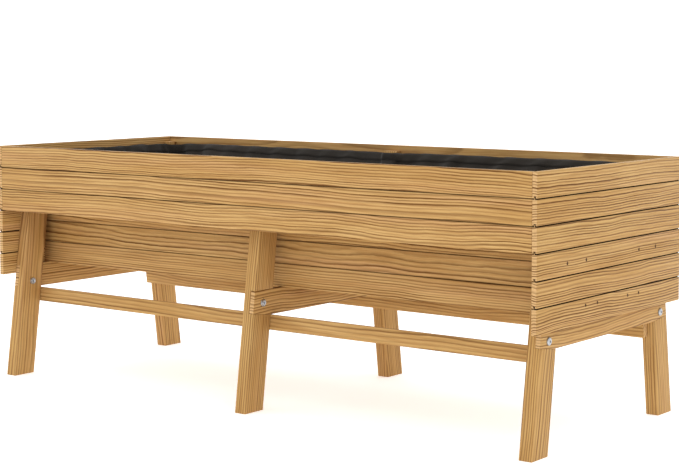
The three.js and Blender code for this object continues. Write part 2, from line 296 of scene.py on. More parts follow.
def screw_material():
    """Yellow-brown wood screws, whose recesses have caught dust and oil."""
    s = Shader("screw_bronze")
    coordinates = s.coordinates()
    cloud = s.noise(coordinates, 900.0, 3.0)
    plate = s.mix(s.ramp(cloud, 0.3, 0.7), colour(120, 84, 48), colour(70, 48, 30))
    s.give("Base Color", plate)
    s.give("Metallic", 0.85)
    s.give("Roughness", s.ramp(cloud, 0.2, 0.8, 0.38, 0.6))
    return s.material


def felt_material():
    """Non-woven felt: matted fibres in all directions, with a faint dimpled press pattern."""
    s = Shader("felt")
    coordinates = s.coordinates()
    mat = s.noise(coordinates, 900.0, 5.0, 0.75)
    clump = s.noise(coordinates, 45.0, 3.0, 0.6)
    dimple = s.cell_distance(coordinates, 420.0)
    tint = s.mix(s.ramp(mat, 0.32, 0.68), colour(25, 22, 19), colour(56, 50, 43))
    tint = s.mix(s.ramp(clump, 0.35, 0.75, 0.0, 0.5), tint, colour(38, 33, 27))
    s.give("Base Color", tint)
    s.give("Roughness", 0.96)
    s.give("Specular IOR Level", 0.15)
    s.give("Sheen Weight", 0.12)
    s.give("Sheen Roughness", 0.6)
    height = s.plus(s.times(mat, 0.8), s.ramp(dimple, 0.0, 0.5, 0.0, 0.5))
    s.bump(height, 0.6, 0.4 * MM)
    return s.material


def thread_material():
    """Twisted sewing thread, a little glossier than the felt."""
    s = Shader("thread")
    coordinates = s.coordinates()
    twist = s.noise(coordinates, 3000.0, 2.0)
    s.give("Base Color", s.mix(twist, colour(52, 50, 48), colour(92, 88, 84)))
    s.give("Roughness", 0.7)
    return s.material


WOOD = wood_material()
ZINC = zinc_material()
BRONZE = screw_material()
FELT = felt_material()
THREAD = thread_material()


# ---------------------------------------------------------------- meshes

def new_object(name, data):
    """An object that is in the scene."""
    made = bpy.data.objects.new(name, data)
    bpy.context.scene.collection.objects.link(made)
    return made


def mesh_of(bm, name):
    """Ends the editing of a solid."""
    mesh = bpy.data.meshes.new(name)
    bm.to_mesh(mesh)
    bm.free()
    return mesh


def smooth(mesh, sharp_angle=None):
    """Shades a mesh as one smooth surface, apart from edges that turn by more than the angle."""
    for polygon in mesh.polygons:
        polygon.use_smooth = True
    if sharp_angle is not None:
        mesh.set_sharp_from_angle(angle=sharp_angle)


def circle(steps):
    """Evenly spaced angles all the way round."""
    return [2 * math.pi * step / steps for step in range(steps)]


def new_piece(name, mesh, material, replaced=()):
    """A piece of the planter, which takes the place of the CAD nodes in replaced."""
    piece = new_object(name, mesh)
    mesh.materials.append(material)
    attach(piece, BODY)
    if replaced:
        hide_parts(*replaced)
    return piece


def prism(first, last):
    """A closed solid between two loops that have the same number of points."""
    bm = bmesh.new()
    starts = [bm.verts.new(point) for point in first]
    finishes = [bm.verts.new(point) for point in last]
    count = len(starts)
    bm.faces.new(starts)
    bm.faces.new(reversed(finishes))
    for index in range(count):
        following = (index + 1) % count
        bm.faces.new((starts[following], starts[index], finishes[index], finishes[following]))
    bmesh.ops.recalc_face_normals(bm, faces=bm.faces[:])
    return bm


def box_loops(low, high):
    """The two end loops of a box, at its lowest and highest X."""
    corners = ((low[1], low[2]), (high[1], low[2]), (high[1], high[2]), (low[1], high[2]))
    return [[Vector((x, y, z)) for y, z in corners] for x in (low[0], high[0])]


# How a piece of wood is sawn: width of a growth ring, strength of its dark part, how far the
# rings wander, and how far the pith is from the piece, across it and through it
BOARD_HABIT = {
    "pitch": 7.4 * MM,
    "contrast": 1.25,
    "wildness": 1.0,
    "aside": (60 * MM, 110 * MM),
    "below": (0.0, 14 * MM),
}
ARCHED_HABIT = BOARD_HABIT | {
    "pitch": 5.6 * MM,
    "aside": (34 * MM, 46 * MM),
    "below": (40 * MM, 60 * MM),
}
END_HABIT = BOARD_HABIT | {"pitch": 6.6 * MM, "contrast": 1.5}
LEG_HABIT = BOARD_HABIT | {
    "pitch": 6.8 * MM,
    "contrast": 1.0,
    "wildness": 0.7,
    "aside": (44 * MM, 64 * MM),
    "below": (44 * MM, 64 * MM),
}
ARCHED_SHARE = 0.2  # of the long boards
PITCH_SPREAD = (0.86, 1.16)  # of single pieces about their habit
CONTRAST_SPREAD = (0.85, 1.08)
WILDNESS_SPREAD = (0.7, 1.2)
LOG_LENGTH = 40.0  # metres, along which each piece starts anywhere
GRAIN_TILT = 0.010  # largest angle between the fibres and a piece
END_GRAIN_TURN = 0.8  # how squarely a face has to cross the fibres to show end grain


def write_grain(mesh, name, along, across, habit):
    """Gives each point its place in the log that the piece was cut from. Every piece takes its own
    stretch of log, and its own distance and direction from the pith."""
    draw = random.Random(name)
    tilt = Matrix.Rotation(draw.uniform(-GRAIN_TILT, GRAIN_TILT), 3, along.cross(across))
    along = (tilt @ along).normalized()
    through = along.cross(across).normalized()
    across = through.cross(along).normalized()
    centre = sum((v.co for v in mesh.vertices), Vector()) / len(mesh.vertices)
    if habit is BOARD_HABIT and draw.random() < ARCHED_SHARE:
        habit = ARCHED_HABIT
    start = draw.uniform(0.0, LOG_LENGTH)
    pitch = habit["pitch"] * draw.uniform(*PITCH_SPREAD)
    aside = draw.choice((-1, 1)) * draw.uniform(*habit["aside"])
    below = draw.choice((-1, 1)) * draw.uniform(*habit["below"])
    count = len(mesh.vertices)
    places = []
    for vertex in mesh.vertices:
        place = vertex.co - centre
        places += [place.dot(along) + start, place.dot(across) + aside, place.dot(through) + below]
    contrast = habit["contrast"] * draw.uniform(*CONTRAST_SPREAD)
    wildness = habit["wildness"] * draw.uniform(*WILDNESS_SPREAD)
    own = (pitch, contrast, wildness)
    cut = [float(abs(polygon.normal.dot(along)) > END_GRAIN_TURN) for polygon in mesh.polygons]
    mesh.attributes.new("grain", "FLOAT_VECTOR", "POINT").data.foreach_set("vector", places)
    mesh.attributes.new("habit", "FLOAT_VECTOR", "POINT").data.foreach_set("vector", own * count)
    mesh.attributes.new("tone", "FLOAT", "POINT").data.foreach_set("value", [draw.random()] * count)
    mesh.attributes.new("end_grain", "FLOAT", "FACE").data.foreach_set("value", cut)


def write_painted_shade(mesh, painted_shade_at):
    """Paints shade on the faces in the joints between boards. The given function gives a face's share of
    the painted shade, from 0 to 1.
    """
    values = [painted_shade_at(polygon) if painted_shade_at else 0.0 for polygon in mesh.polygons]
    mesh.attributes.new("painted_shade", "FLOAT", "FACE").data.foreach_set("value", values)


HOLE_SIDES = 16
HOLE_OVERRUN = 0.4 * MM  # how far a cutter stands out of the wood
MOUTH_SHARE = 2.0  # width of a hole's countersunk mouth against the hole's own
MOUTH_DEPTH = 0.6 * MM  # of its straight part


def timber(node, bm, along, across, edge=EDGE, holes=(), habit=BOARD_HABIT, painted_shade_at=None):
    """Rounds the edges of a wooden piece, drills it, and puts it in its CAD node's place.
    holes is [(centre, direction, radius, depth)]."""
    bmesh.ops.bevel(
        bm, geom=[line for line in bm.edges if line.is_convex], offset=edge, offset_type="OFFSET",
        segments=3, profile=0.5, affect="EDGES", clamp_overlap=True,
    )
    piece = new_piece("wood_" + node, mesh_of(bm, node), WOOD, [node])
    if holes:
        drill(piece, holes)
    write_grain(piece.data, node, along, across, habit)
    write_painted_shade(piece.data, painted_shade_at)
    smooth(piece.data, SHARP_WOOD_ANGLE)


def drill(piece, holes):
    """Cuts screw holes with a countersunk mouth out of a piece."""
    bm = bmesh.new()
    for centre, direction, radius, depth in holes:
        turn = direction.to_track_quat("Z", "Y").to_matrix().to_4x4()
        profile = [
            (MOUTH_SHARE, -HOLE_OVERRUN),
            (MOUTH_SHARE, MOUTH_DEPTH),
            (1.0, MOUTH_DEPTH + radius),
            (1.0, depth),
        ]
        rings = []
        for share, height in profile:
            ring = []
            for angle in circle(HOLE_SIDES):
                spot = Vector((math.cos(angle), math.sin(angle), 0)) * radius * share
                spot.z = height
                ring.append(bm.verts.new(Vector(centre) + turn @ spot))
            rings.append(ring)
        stitch(bm, rings)
    bmesh.ops.recalc_face_normals(bm, faces=bm.faces[:])
    cutter_mesh = mesh_of(bm, "cutter")
    cutter = new_object("cutter", cutter_mesh)
    cut = piece.modifiers.new("drill", "BOOLEAN")
    cut.operation = "DIFFERENCE"
    cut.solver = "EXACT"
    cut.object = cutter
    graph = bpy.context.evaluated_depsgraph_get()
    drilled = bpy.data.meshes.new_from_object(piece.evaluated_get(graph))
    piece.modifiers.clear()
    old = piece.data
    piece.data = drilled
    bpy.data.meshes.remove(old)
    bpy.data.objects.remove(cutter)
    bpy.data.meshes.remove(cutter_mesh)


def stitch(bm, rings):
    """Joins rings of equal length into a skin, and caps its two ends."""
    for lower, upper in zip(rings, rings[1:]):
        count = len(lower)
        for index in range(count):
            following = (index + 1) % count
            bm.faces.new((lower[index], lower[following], upper[following], upper[index]))
    bm.faces.new(reversed(rings[0]))
    bm.faces.new(rings[-1])


# ---------------------------------------------------------------- wooden pieces

X_AXIS = Vector((1, 0, 0))
Y_AXIS = Vector((0, 1, 0))
Z_AXIS = Vector((0, 0, 1))


def board(node, along, across):
    """A plain board that fills its CAD node's box."""
    timber(node, prism(*box_loops(*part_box(node))), along, across)


def wall_board(node, along, row, last, painted_shade, habit=BOARD_HABIT, holes=()):
    """A matched board of a wall: every board but the highest has a tongue on its upper edge, and
    every board but the last has a groove in its lower edge. The joint's faces get painted shade."""
    low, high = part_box(node)
    length_axis, depth_axis = (0, 1) if along.x else (1, 0)
    grooved, tongued = row < last, row > 0
    tip, bottom = high.z, low.z
    top = tip - (BOARD_GAP + TONGUE_REACH if tongued else 0.0)
    near, far = low[depth_axis], high[depth_axis]
    middle = (near + far) / 2
    tongue = TONGUE_THICKNESS / 2
    groove = tongue + CLEARANCE
    outline = [(near, bottom)]
    if grooved:
        roof = bottom + GROOVE_DEPTH
        outline += [(middle - groove, bottom), (middle - groove, roof)]
        outline += [(middle + groove, roof), (middle + groove, bottom)]
    outline += [(far, bottom), (far, top)]
    if tongued:
        outline += [(middle + tongue, top), (middle + tongue, tip)]
        outline += [(middle - tongue, tip), (middle - tongue, top)]
    outline.append((near, top))

    def loop(place):
        points = []
        for depth, z in outline:
            point = Vector((0.0, 0.0, z))
            point[length_axis] = place
            point[depth_axis] = depth
            points.append(point)
        return points

    # Painted shade on the tongue and on the faces that turn into the joint
    def painted_shade_at(polygon):
        if tongued and polygon.center.z > top:
            return painted_shade
        below_joint = tongued and polygon.normal.z > 0
        above_joint = grooved and polygon.normal.z < 0
        turned = min(abs(polygon.normal.z) / SEAM_TURN, 1.0)
        return painted_shade * turned if below_joint or above_joint else 0.0

    solid = prism(loop(low[length_axis]), loop(high[length_axis]))
    timber(node, solid, along, Z_AXIS, holes=holes, habit=habit, painted_shade_at=painted_shade_at)


def leg_outside(z):
    """How far a leg's outer edge is from the middle of the planter at a height."""
    return FOOT_OUTSIDE - LEG_LEAN * z


def rail_rise(inset):
    """How far a rail's lower edge has risen where it crosses a leg, at a distance in from the leg's
    outer edge. It is cut square to the leg, from the leg's inner edge outwards."""
    return LEG_LEAN * (LEG_WIDTH - inset) / (1 + LEG_LEAN ** 2)


def leg(side, station):
    """A splayed leg with the housing that its cross rail is let into."""
    node = f"{side}_leg_{station}"
    sign = SIDES[side]
    low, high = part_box(node)
    rail_low, rail_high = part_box(f"cross_rail_{station}")
    housed = -1 if station == "left" else 1
    face, back = (high[0], low[0]) if housed > 0 else (low[0], high[0])
    floor = face - housed * (BOARD_THICKNESS + CLEARANCE)
    mouth_top = rail_high[2] + CLEARANCE

    def loop(inset):
        mouth_bottom = rail_low[2] - CLEARANCE + rail_rise(inset)
        profile = [
            (back, 0.0),
            (face, 0.0),
            (face, mouth_bottom),
            (floor, mouth_bottom),
            (floor, mouth_top),
            (face, mouth_top),
            (face, high[2]),
            (back, high[2]),
        ]
        return [Vector((x, sign * (leg_outside(z) - inset), z)) for x, z in profile]

    lean = Vector((0, -sign * LEG_LEAN, 1))
    solid = prism(loop(0.0), loop(LEG_WIDTH))
    timber(node, solid, lean, Y_AXIS, edge=LEG_EDGE, habit=LEG_HABIT)


def cross_rail(station):
    """A rail that is level between its legs, with ends that are cut square to them below."""
    node = f"cross_rail_{station}"
    low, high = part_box(node)
    corner = low[2] + rail_rise(0.0)
    half = [
        (leg_outside(low[2]) - LEG_WIDTH, low[2]),
        (leg_outside(corner), corner),
        (leg_outside(high[2]), high[2]),
    ]
    outline = half + [(-y, z) for y, z in reversed(half)]

    def loop(x):
        return [Vector((x, y, z)) for y, z in outline]

    timber(node, prism(loop(low[0]), loop(high[0])), Y_AXIS, Z_AXIS)


def stretcher(side):
    """A bar that lies flat on the inner edges of the legs and leans with them."""
    node = f"{side}_stretcher"
    sign = SIDES[side]
    low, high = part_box(node)
    lean = math.atan(LEG_LEAN)
    outward = Vector((0, sign * math.cos(lean), math.sin(lean)))
    upward = Vector((0, -sign * math.sin(lean), math.cos(lean)))
    distance = leg_outside(STRETCHER_MIDDLE) - LEG_WIDTH - CLEARANCE
    face = Vector((0, sign * distance, STRETCHER_MIDDLE))

    def loop(x):
        points = []
        for depth, height in ((-1, -0.5), (0, -0.5), (0, 0.5), (-1, 0.5)):
            inset = outward * (STRETCHER_THICKNESS * depth)
            points.append(face + X_AXIS * x + inset + upward * (STRETCHER_HEIGHT * height))
        return points

    timber(node, prism(loop(low[0]), loop(high[0])), X_AXIS, upward, habit=LEG_HABIT)


# Screws that show in each end: the board's number from the top, height above its lower edge,
# and distances from the middle
SCREW_RADIUS = 2.1 * MM
SCREW_HOLE_DEPTH = 12 * MM
SCREW_ROWS = (
    (4, 28 * MM, (134 * MM, 224 * MM)),
    (6, 45 * MM, (77 * MM, 135 * MM)),
)


def end_screw_places(end, row):
    """The mouths of the screw holes in one end board."""
    low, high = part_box(f"{end}_end_board_{row}")
    outside = high[0] if ENDS[end] > 0 else low[0]
    places = []
    for screw_row, rise, distances in SCREW_ROWS:
        if screw_row == row:
            for distance in distances:
                places += [Vector((outside, sign * distance, low[2] + rise)) for sign in (-1, 1)]
    return places


def wooden_pieces():
    for side in SIDES:
        for number, row in enumerate(ROWS):
            for wall in ("board", "trough_board"):
                wall_board(f"{side}_{wall}_{row}", X_AXIS, number, len(ROWS) - 1, SIDE_PAINTED_SHADE)
        board(f"{side}_ledge_board", X_AXIS, Y_AXIS)
        board(f"{side}_middle_batten", Z_AXIS, X_AXIS)
        board(f"{side}_trough_batten", Z_AXIS, X_AXIS)
        stretcher(side)
        for station in STATIONS:
            leg(side, station)
        for end in ENDS:
            board(f"corner_batten_{side}_{end}", Z_AXIS, X_AXIS)
            board(f"trough_cleat_{side}_{end}", Z_AXIS, Y_AXIS)
    for end, sign in ENDS.items():
        inward = X_AXIS * -sign
        for row in range(END_BOARDS):
            places = end_screw_places(end, row + 1)
            holes = [(spot, inward, SCREW_RADIUS, SCREW_HOLE_DEPTH) for spot in places]
            node = f"{end}_end_board_{row + 1}"
            wall_board(node, Y_AXIS, row, END_BOARDS - 1, END_PAINTED_SHADE, END_HABIT, holes)
    for station in STATIONS:
        cross_rail(station)
    for number in range(FLOOR_BOARDS):
        board(f"floor_board_{number + 1}", X_AXIS, Y_AXIS)


wooden_pieces()


# ---------------------------------------------------------------- fasteners

DOME_STEPS = 8
SCREW_HEAD_RADIUS = MOUTH_SHARE * SCREW_RADIUS * 0.94
SCREW_SHANK_RADIUS = SCREW_RADIUS * 0.8
SCREW_LENGTH = 9 * MM
SCREW_SIDES = 32


def hexagon(across_flats, angle):
    """Distance from the middle to the side of a hexagon in a direction."""
    sector = math.pi / 3
    return across_flats / 2 / math.cos((angle + sector / 2) % sector - sector / 2)


def cross(half_length, half_width, angle):
    """Distance from the middle to the edge of a rounded cross in a direction."""
    turned = (angle + math.pi / 4) % (math.pi / 2) - math.pi / 4
    arm = half_length / max(math.cos(turned), 0.5)
    side = half_width / max(abs(math.sin(turned)), 1e-6)
    return max(min(arm, side), half_width * 1.25)


def turned_piece(name, rings, matrices, material, replaced=(), segments=48):
    """Turned metal solids, one for each matrix. rings is [(radius, height)], in which a radius may
    also be a function of the angle."""
    bm = bmesh.new()
    for matrix in matrices:
        loops = []
        for radius, height in rings:
            loop = []
            for angle in circle(segments):
                reach = radius(angle) if callable(radius) else radius
                spot = Vector((reach * math.cos(angle), reach * math.sin(angle), height))
                loop.append(bm.verts.new(matrix @ spot))
            loops.append(loop)
        stitch(bm, loops)
    bmesh.ops.recalc_face_normals(bm, faces=bm.faces[:])
    mesh = mesh_of(bm, name)
    smooth(mesh, SHARP_METAL_ANGLE)
    new_piece(name, mesh, material, replaced)


def facing(place, direction):
    """Turns a solid's own Z to a direction, and moves it to a place."""
    return Matrix.Translation(place) @ direction.to_track_quat("Z", "Y").to_matrix().to_4x4()


def bolt(side, station):
    """A domed connector bolt with a hexagon socket, and its flanged sleeve nut."""
    node = f"{side}_bolt_{station}"
    low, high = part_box(node)
    centre = Vector([(a + b) / 2 for a, b in zip(low, high)])
    crown = (high[0] - low[0]) / 2
    nut_face = -crown
    leg_low, leg_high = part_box(f"{side}_leg_{station}")
    thickness = leg_high[0] - leg_low[0]
    outward = X_AXIS * (-1 if station == "left" else 1)
    leg_middle = (leg_low[0] + leg_high[0]) / 2
    offset = (leg_middle - centre.x) * outward.x
    head_seat = offset + thickness / 2 + CLEARANCE
    nut_seat = offset - thickness / 2 - CLEARANCE
    rim = head_seat + BOLT_RIM

    def socket(angle):
        return hexagon(BOLT_SOCKET, angle)

    def socket_mouth(angle):
        return hexagon(BOLT_SOCKET + 2 * BOLT_SOCKET_CHAMFER, angle)

    rings = [
        (socket, nut_face + BOLT_SOCKET_DEPTH),
        (socket, nut_face + BOLT_SOCKET_CHAMFER),
        (socket_mouth, nut_face),
    ]
    rings += [(BOLT_HEAD_RADIUS - inset, nut_face + depth) for inset, depth in NUT_EDGE]
    rings += [
        (BOLT_HEAD_RADIUS, nut_seat),
        (BOLT_SHANK_RADIUS, nut_seat),
        (BOLT_SHANK_RADIUS, head_seat),
        (BOLT_HEAD_RADIUS, head_seat),
        (BOLT_HEAD_RADIUS, rim),
    ]
    flat = BOLT_SOCKET * 0.78
    for step in range(1, DOME_STEPS + 1):
        angle = step / DOME_STEPS * math.pi / 2
        radius = flat + (BOLT_HEAD_RADIUS - flat) * math.cos(angle)
        rings.append((radius, rim + (crown - rim) * math.sin(angle)))
    rings += [
        (socket_mouth, crown),
        (socket, crown - BOLT_SOCKET_CHAMFER),
        (socket, crown - BOLT_SOCKET_DEPTH),
    ]
    turned_piece(f"connector_bolt_{side}_{station}", rings, [facing(centre, outward)], ZINC, [node])


def screws(name, places, direction):
    """Countersunk screws with a cross recess, whose heads lie just under the face of the wood.
    places are the mouths of their holes."""
    radius = SCREW_HEAD_RADIUS

    def recess(angle):
        return cross(radius * 0.62, radius * 0.17, angle)

    def recess_floor(angle):
        return recess(angle) * 0.8

    rings = [
        (SCREW_SHANK_RADIUS, -SCREW_LENGTH),
        (SCREW_SHANK_RADIUS, -1.0 * MM - radius * 0.7),
        (radius, -0.75 * MM),
        (radius * 0.97, -0.62 * MM),
        (radius * 0.9, -0.58 * MM),
        (recess, -0.58 * MM),
        (recess_floor, -1.5 * MM),
    ]
    matrices = [facing(spot, direction) for spot in places]
    turned_piece(name, rings, matrices, BRONZE, segments=SCREW_SIDES)


def fasteners():
    for station in STATIONS:
        for side in SIDES:
            bolt(side, station)
    for end, sign in ENDS.items():
        places = [spot for row in range(END_BOARDS) for spot in end_screw_places(end, row + 1)]
        screws(f"end_screws_{end}", places, X_AXIS * sign)


fasteners()


# ---------------------------------------------------------------- liner

FELT_THICKNESS = 1.6 * MM
HEM_THICKNESS = FELT_THICKNESS * 0.9
HEM_LIFT = FELT_THICKNESS * 1.08  # from the back of the felt to the back of the hem
FELT_MARGIN = 1.0 * MM  # between the felt and the wood
CLOTH_STEP = 14 * MM  # between neighbouring points of the cloth
HEM_ROWS = 2  # the fold at the top edge, in steps of the cloth
STAPLE_SPACING = 92 * MM
STAPLE_DROP = 9 * MM
STAPLE_HALF_WIDTH = 5.5 * MM
STAPLE_WIRE = 0.55 * MM
STAPLE_LEG = STAPLE_WIRE * 2.5
STITCH_SPACING = 6.5 * MM
STITCH_LENGTH = 4.4 * MM
STITCH_RADIUS = 0.45 * MM
STITCH_ABOVE_HEM = 5 * MM  # from the lower edge of the hem
BAR_SIDES = 6
BAR_TAPER = 0.45  # width of a bar's ends against its middle
RELAX_ROUNDS = 14
CLOTH_FRAMES = 40
CONTACT_GAP = 1.5 * MM  # that the cloth simulation keeps


def is_within(point, low, high):
    """Whether a point is inside a box."""
    return low.x < point.x < high.x and low.y < point.y < high.y and low.z < point.z < high.z


class Hollow:
    """The space inside the planter's wood, less a margin: a wide box on a narrow trough, with
    battens standing in it. Each box is (lowest corner, highest corner)."""

    def __init__(self, margin):
        self.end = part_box("right_end_board_1")[0].x - margin
        self.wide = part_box("rear_board_top")[0].y - margin
        self.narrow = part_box("rear_trough_board_top")[0].y - margin
        self.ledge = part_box("rear_ledge_board")[1].z + margin
        self.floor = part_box("floor_board_1")[1].z + margin
        self.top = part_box("fabric_liner")[1].z
        step = Vector((margin, margin, margin))
        self.battens = []
        for side in SIDES:
            names = [f"{side}_middle_batten", f"{side}_trough_batten"]
            for kind in ("corner_batten", "trough_cleat"):
                names += [f"{kind}_{side}_{end}" for end in ENDS]
            for name in names:
                low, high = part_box(name)
                self.battens.append((low - step, high + step))

    def stops(self):
        """Where the walls stand along each axis, in rising order."""
        x = {-self.end, self.end}
        y = {-self.wide, -self.narrow, self.narrow, self.wide}
        for low, high in self.battens:
            x |= {value for value in (low.x, high.x) if abs(value) < self.end}
            y |= {value for value in (low.y, high.y) if abs(value) < self.wide}
        return sorted(x), sorted(y), [self.floor, self.ledge, self.top]

    def is_open(self, x, y, z):
        """Whether there is neither a batten nor a ledge at a place between the walls."""
        point = Vector((x, y, z))
        if any(is_within(point, low, high) for low, high in self.battens):
            return False
        return z > self.ledge or abs(y) < self.narrow

    def keep_inside(self, point):
        """Moves a point that has gone into the wood to the nearest place outside it."""
        point.x = max(-self.end, min(self.end, point.x))
        point.y = max(-self.wide, min(self.wide, point.y))
        point.z = max(self.floor, point.z)
        if point.z < self.ledge and abs(point.y) > self.narrow:
            if self.ledge - point.z < abs(point.y) - self.narrow:
                point.z = self.ledge
            else:
                point.y = math.copysign(self.narrow, point.y)
        for low, high in self.battens:
            if not is_within(point, low, high):
                continue
            inner = high.y if low.y < 0 else low.y
            ways = [(abs(inner - point.y), "y", inner)]
            if low.x < 0:
                ways.append((high.x - point.x, "x", high.x))
            if high.x > 0:
                ways.append((point.x - low.x, "x", low.x))
            _, axis, place = min(ways)
            setattr(point, axis, place)
        return point


def between(stops, step):
    """Numbers from the first stop to the last, through every stop and at most a step apart."""
    values = [stops[0]]
    for start, finish in zip(stops, stops[1:]):
        count = max(1, math.ceil((finish - start) / step))
        values += [start + (finish - start) * number / count for number in range(1, count + 1)]
    return values


def tray(name, hollow, step):
    """The skin of the hollow, open at the top, as a grid of squares that face the hollow.
    It also gives the level of each point, counted down from the open top."""
    xs, ys, zs = [between(stops, step) for stops in hollow.stops()]
    counts = (len(xs) - 1, len(ys) - 1, len(zs) - 1)

    def middle(values, index):
        return (values[index] + values[index + 1]) / 2

    is_open = {}
    for i in range(counts[0]):
        for j in range(counts[1]):
            for k in range(counts[2]):
                is_open[i, j, k] = hollow.is_open(middle(xs, i), middle(ys, j), middle(zs, k))
    corners = {}
    levels = []
    faces = []
    points = []

    def corner(key):
        if key not in corners:
            corners[key] = len(points)
            points.append((xs[key[0]], ys[key[1]], zs[key[2]]))
            levels.append(counts[2] - key[2])
        return corners[key]

    for cell, free in is_open.items():
        if not free:
            continue
        for axis in range(3):
            for way in (-1, 1):
                beside = list(cell)
                beside[axis] += way
                if is_open.get(tuple(beside)) or beside[2] == counts[2]:
                    continue
                first, second = (axis + 1) % 3, (axis + 2) % 3
                base = list(cell)
                base[axis] += max(way, 0)
                square = []
                for a, b in ((0, 0), (1, 0), (1, 1), (0, 1)):
                    key = list(base)
                    key[first] += a
                    key[second] += b
                    square.append(corner(tuple(key)))
                faces.append(square if way < 0 else square[::-1])
    mesh = bpy.data.meshes.new(name)
    mesh.from_pydata(points, [], faces)
    return mesh, levels


def rim_of(mesh):
    """The points of the open top edge, in order round the planter."""
    uses = {}
    for polygon in mesh.polygons:
        for edge in polygon.edge_keys:
            uses[edge] = uses.get(edge, 0) + 1
    beside = {}
    for (a, b), count in uses.items():
        if count == 1:
            beside.setdefault(a, []).append(b)
            beside.setdefault(b, []).append(a)
    rim = [min(beside)]
    previous = None
    while True:
        ahead = [point for point in beside[rim[-1]] if point != previous]
        previous = rim[-1]
        if ahead[0] == rim[0]:
            return rim
        rim.append(ahead[0])


def relax(mesh, hollow, rim, rounds):
    """Rounds the corners of the tray as cloth does, and keeps it out of the wood."""
    beside = [[] for _ in mesh.vertices]
    for a, b in (edge.vertices for edge in mesh.edges):
        beside[a].append(b)
        beside[b].append(a)
    for index, point in enumerate(rim):
        beside[point] = [rim[index - 1], rim[(index + 1) % len(rim)]]
    places = [vertex.co.copy() for vertex in mesh.vertices]
    for _ in range(rounds):
        moved = []
        for place, others in zip(places, beside):
            mean = sum((places[other] for other in others), Vector()) / len(others)
            moved.append(hollow.keep_inside(place.lerp(mean, 0.5)))
        places = moved
    mesh.vertices.foreach_set("co", [value for place in places for value in place])


def along_rim(mesh, points, spacing):
    """Evenly spaced places along a closed line of a mesh's points. Each is (index of the point
    behind, share of the way to the next)."""
    places = [mesh.vertices[point].co for point in points]
    lengths = [(places[(k + 1) % len(places)] - place).length for k, place in enumerate(places)]
    count = round(sum(lengths) / spacing)
    step = sum(lengths) / count
    found = []
    travelled, target = 0.0, step / 2
    for index, length in enumerate(lengths):
        while len(found) < count and travelled + length >= target:
            found.append((index, (target - travelled) / length))
            target += step
        travelled += length
    return found


def let_fall(cloth, pins):
    """Lets the felt sag from its staples and settle on the wood, which is a little too small for it."""
    staples = cloth.vertex_groups.new(name="staples")
    staples.add(pins, 1.0, "ADD")
    wood_mesh, _ = tray("liner_walls", Hollow(0.0), 1.0)
    wood = new_object("liner_walls", wood_mesh)
    wood.modifiers.new("collision", "COLLISION")
    wood.collision.thickness_outer = CONTACT_GAP
    wood.collision.cloth_friction = 6.0
    fall = cloth.modifiers.new("fall", "CLOTH")
    fall.settings.quality = 5
    fall.settings.mass = 0.05
    fall.settings.tension_stiffness = 14.0
    fall.settings.compression_stiffness = 10.0
    fall.settings.shear_stiffness = 4.0
    fall.settings.bending_stiffness = 0.4
    fall.settings.air_damping = 2.0
    fall.settings.vertex_group_mass = "staples"
    fall.settings.shrink_min = -0.018
    fall.collision_settings.distance_min = CONTACT_GAP
    fall.collision_settings.collision_quality = 3
    fall.point_cache.frame_end = CLOTH_FRAMES
    for number in range(1, CLOTH_FRAMES + 1):
        bpy.context.scene.frame_set(number)
    graph = bpy.context.evaluated_depsgraph_get()
    settled = [vertex.co.copy() for vertex in cloth.evaluated_get(graph).data.vertices]
    cloth.modifiers.clear()
    cloth.vertex_groups.clear()
    bpy.context.scene.frame_set(1)
    bpy.data.objects.remove(wood)
    bpy.data.meshes.remove(wood_mesh)
    return settled


def thicken(piece, thickness):
    """Makes a smooth closed sheet of cloth from a grid of points, on the side that they face."""
    finer = piece.modifiers.new("finer", "SUBSURF")
    finer.levels = 1
    finer.render_levels = 1
    body = piece.modifiers.new("body", "SOLIDIFY")
    body.thickness = thickness
    body.offset = 1.0
    graph = bpy.context.evaluated_depsgraph_get()
    mesh = bpy.data.meshes.new_from_object(piece.evaluated_get(graph))
    piece.modifiers.clear()
    old = piece.data
    piece.data = mesh
    bpy.data.meshes.remove(old)
    smooth(mesh)


def small_bars(name, paths, radius, material):
    """Round bars with tapered ends, one along each path of points, joined into one piece."""
    bm = bmesh.new()
    for path in paths:
        rings = []
        for index, place in enumerate(path):
            ahead = path[min(index + 1, len(path) - 1)] - path[max(index - 1, 0)]
            turn = ahead.to_track_quat("Z", "Y")
            width = radius * (BAR_TAPER if index in (0, len(path) - 1) else 1.0)
            ring = []
            for angle in circle(BAR_SIDES):
                side = turn @ Vector((math.cos(angle), math.sin(angle), 0))
                ring.append(bm.verts.new(place + side * width))
            rings.append(ring)
        stitch(bm, rings)
    bmesh.ops.recalc_face_normals(bm, faces=bm.faces[:])
    mesh = mesh_of(bm, name)
    smooth(mesh)
    return new_piece(name, mesh, material)


